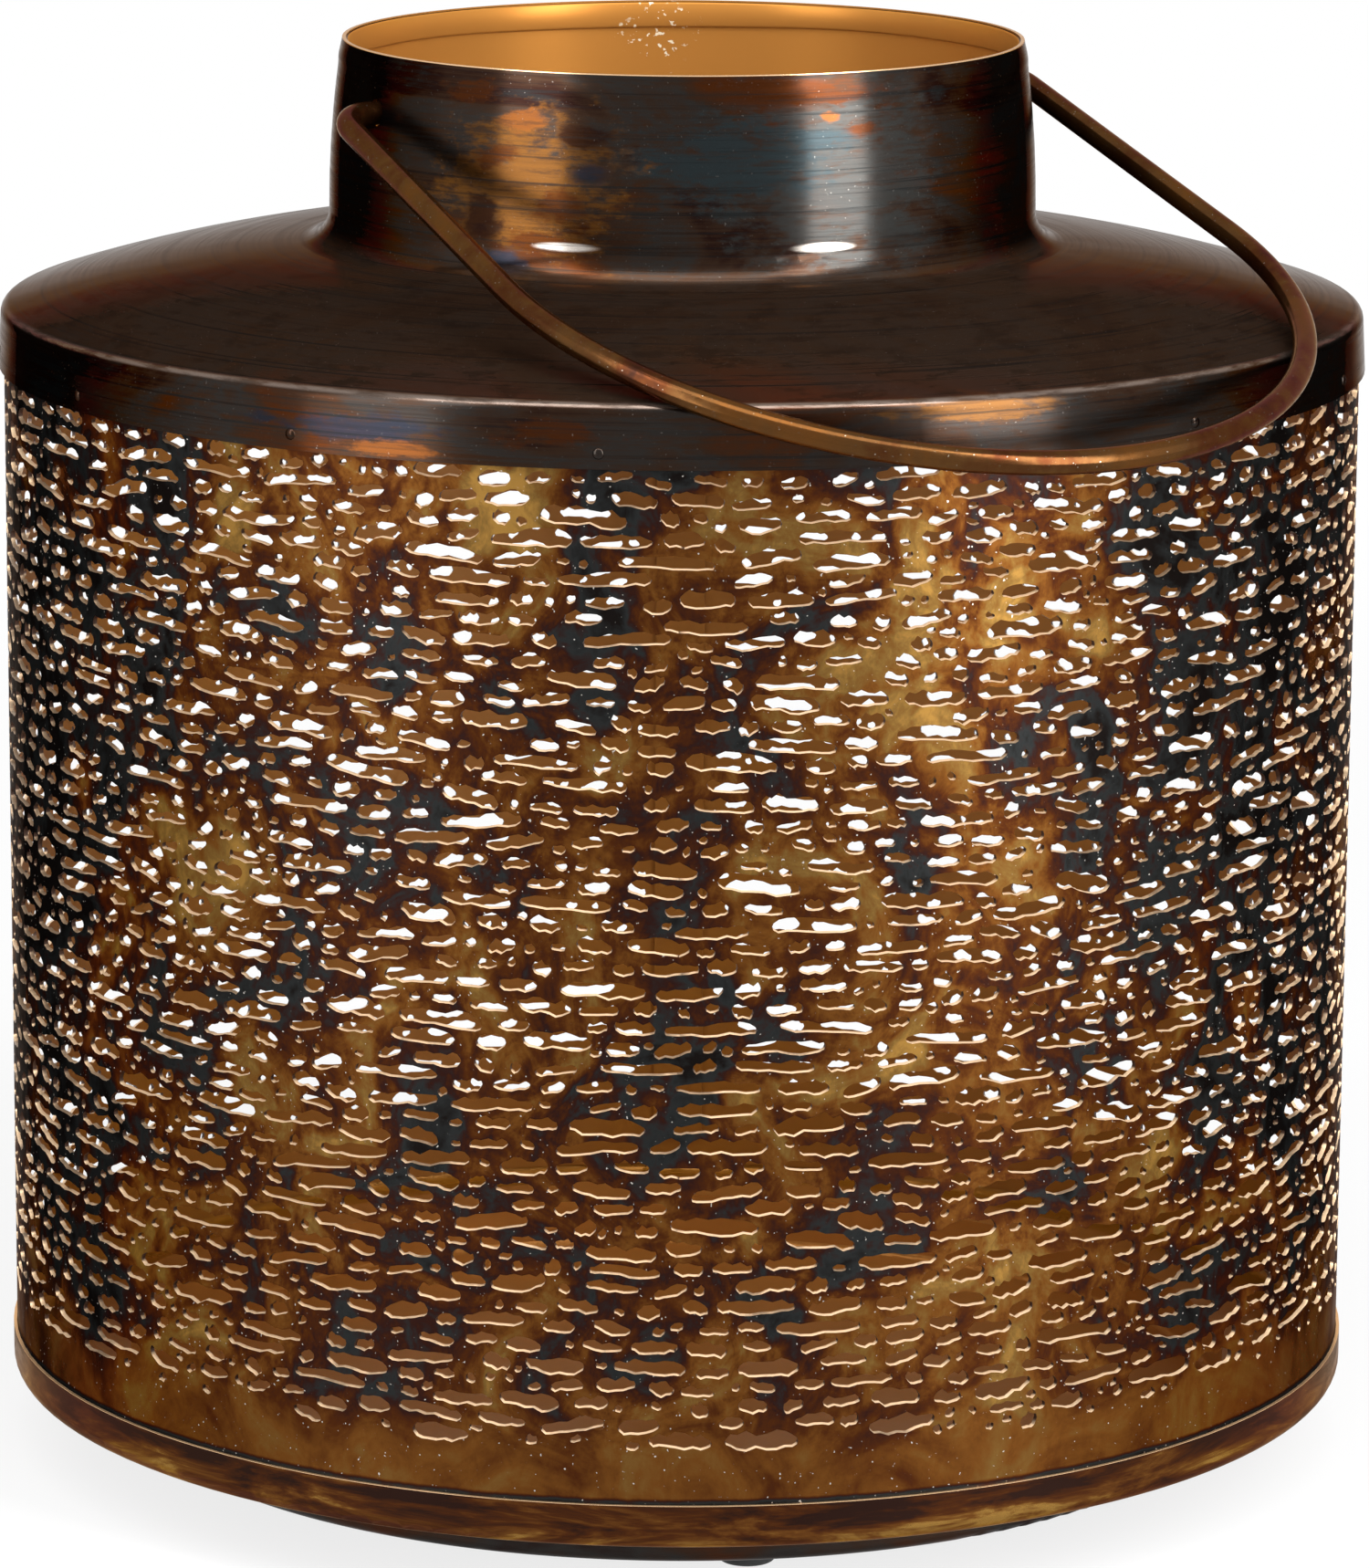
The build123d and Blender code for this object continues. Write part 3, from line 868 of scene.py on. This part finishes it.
def neck_roll(material):
    """The soft roll outside the neck's rim, whose back lies inside the sheet."""
    shares = np.linspace(0, 1, roll_steps + 1)
    levels = neck_rim_level - hem_gap - roll_height * shares
    swell = roll_swell * np.sin(math.pi * shares) ** 2 * np.sqrt(shares)
    front = [(neck_radius(level) + rise, level) for level, rise in zip(levels, swell)]
    back = [(neck_radius(level) - neck_sheet / 2, level) for level in levels[::-1]]
    neck_ring("neck_roll", [front + back] * hem_sides, material)


def finish_nodes(top_material):
    """Materials for the nodes of the frame that are shown as they are."""
    rubber_material = rubber()
    finishes = {"spun_top": top_material, "base_rim": rubbed_band(), "bottom_dish": dark_dish()}
    finishes["bail_handle"] = brown_wire()
    for number in range(1, 5):
        finishes[f"rubber_foot_{number}"] = rubber_material
    for node, material in finishes.items():
        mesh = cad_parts[node].data
        mesh.materials.clear()
        mesh.materials.append(material)


# Stage
def background_rays(tree):
    """1 for the rays that show the background: straight from the camera, or by way of gloss or glass."""
    path = tree.nodes.new("ShaderNodeLightPath")
    total = path.outputs["Is Camera Ray"]
    for kind in ("Is Glossy Ray", "Is Transmission Ray"):
        either = tree.nodes.new("ShaderNodeMath")
        either.operation = "MAXIMUM"
        tree.links.new(total, either.inputs[0])
        tree.links.new(path.outputs[kind], either.inputs[1])
        total = either.outputs[0]
    return total


def white_background(tree, surface, share):
    """Mix a share of plain white glow into a surface where it is seen as the background."""
    scaled = tree.nodes.new("ShaderNodeMath")
    scaled.operation = "MULTIPLY"
    tree.links.new(background_rays(tree), scaled.inputs[0])
    tree.links.new(share, scaled.inputs[1])
    glow = tree.nodes.new("ShaderNodeEmission")
    mixed = tree.nodes.new("ShaderNodeMixShader")
    tree.links.new(scaled.outputs[0], mixed.inputs[0])
    tree.links.new(surface, mixed.inputs[1])
    tree.links.new(glow.outputs[0], mixed.inputs[2])
    return mixed.outputs[0]


def floor():
    """A wide pale floor under the feet."""
    mesh = bpy.data.meshes.new("floor")
    signs = [(-1, -1), (1, -1), (1, 1), (-1, 1)]
    corners = [(x * floor_reach, y * floor_reach, floor_level) for x, y in signs]
    mesh.from_pydata(corners, [], [(0, 1, 2, 3)])
    paint = Painter("floor")
    paint.set(Base_Color=FLOOR_GREY, Roughness=0.9)
    share = paint.span(paint.axis_distance(), 0.25, 1.2, 0.8, 1.0)
    surface = white_background(paint.tree, paint.shader.outputs[0], share)
    paint.tree.links.new(surface, paint.output.inputs[0])
    piece = new_object("floor", mesh, [paint.material])


def world_light():
    """A dim even surround, white where it is seen as the background."""
    world = bpy.data.worlds.new("studio")
    bpy.context.scene.world = world
    world.use_nodes = True
    tree = world.node_tree
    tree.nodes["Background"].inputs["Color"].default_value = (1, 1, 1, 1)
    level = tree.nodes.new("ShaderNodeMapRange")
    tree.links.new(background_rays(tree), level.inputs[0])
    level.inputs[3].default_value = surround_strength
    level.inputs[4].default_value = 1.0
    tree.links.new(level.outputs[0], tree.nodes["Background"].inputs["Strength"])


def soft_box(name, azimuth, distance, level, width, height, power):
    """A rectangular light that faces the lantern, placed by its bearing from the camera's side."""
    light = bpy.data.lights.new(name, "AREA")
    light.shape = "RECTANGLE"
    light.size = width
    light.size_y = height
    light.energy = power
    bearing = math.radians(camera_azimuth + azimuth)
    place = Vector((math.sin(bearing) * distance, -math.cos(bearing) * distance, level))
    aim = Vector((0, 0, lamp_aim_level)) - place
    lamp = bpy.data.objects.new(name, light)
    lamp.location = place
    lamp.rotation_euler = aim.to_track_quat("-Z", "Y").to_euler()
    bpy.context.scene.collection.objects.link(lamp)


def lights():
    """On either side a wide soft box, a brighter strip and a small high box, and one box overhead."""
    soft_box("left_box", -60, 1.5, 0.5, 1.5, 1.5, 3)
    soft_box("left_strip", -49, 1.45, 0.65, 0.60, 1.4, 14)
    soft_box("right_box", 60, 1.5, 0.5, 1.5, 1.5, 4)
    soft_box("right_strip", 50, 1.45, 0.65, 0.55, 1.4, 33)
    soft_box("left_high", -48, 1.05, 1.45, 0.35, 0.5, 6)
    soft_box("right_high", 48, 1.05, 1.45, 0.35, 0.5, 8)
    soft_box("top_box", 0, 0.7, 1.75, 1.2, 0.9, 18)


def camera():
    """The photograph's camera."""
    lens = bpy.data.cameras.new("camera")
    lens.lens = camera_lens
    lens.shift_x, lens.shift_y = camera_shift
    lens.clip_end = 100
    eye = bpy.data.objects.new("camera", lens)
    bearing = math.radians(camera_azimuth)
    eye.location = (math.sin(bearing) * camera_distance, -math.cos(bearing) * camera_distance, camera_level)
    tilt = Euler((math.radians(90 - camera_down), 0, bearing)).to_matrix()
    roll = Matrix.Rotation(math.radians(camera_roll), 3, "Z")
    eye.rotation_euler = (tilt @ roll).to_euler()
    bpy.context.scene.collection.objects.link(eye)
    bpy.context.scene.camera = eye


camera()
floor()
world_light()
lights()
top_material = spun_metal()
drum_inside = inside_paint()
punched_drum(drum_inside)
seam_strip(drum_inside)
rivets(top_material)
neck_hem(top_material)
neck_roll(top_material)
finish_nodes(top_material)

bpy.context.scene.view_settings.view_transform = "Standard"
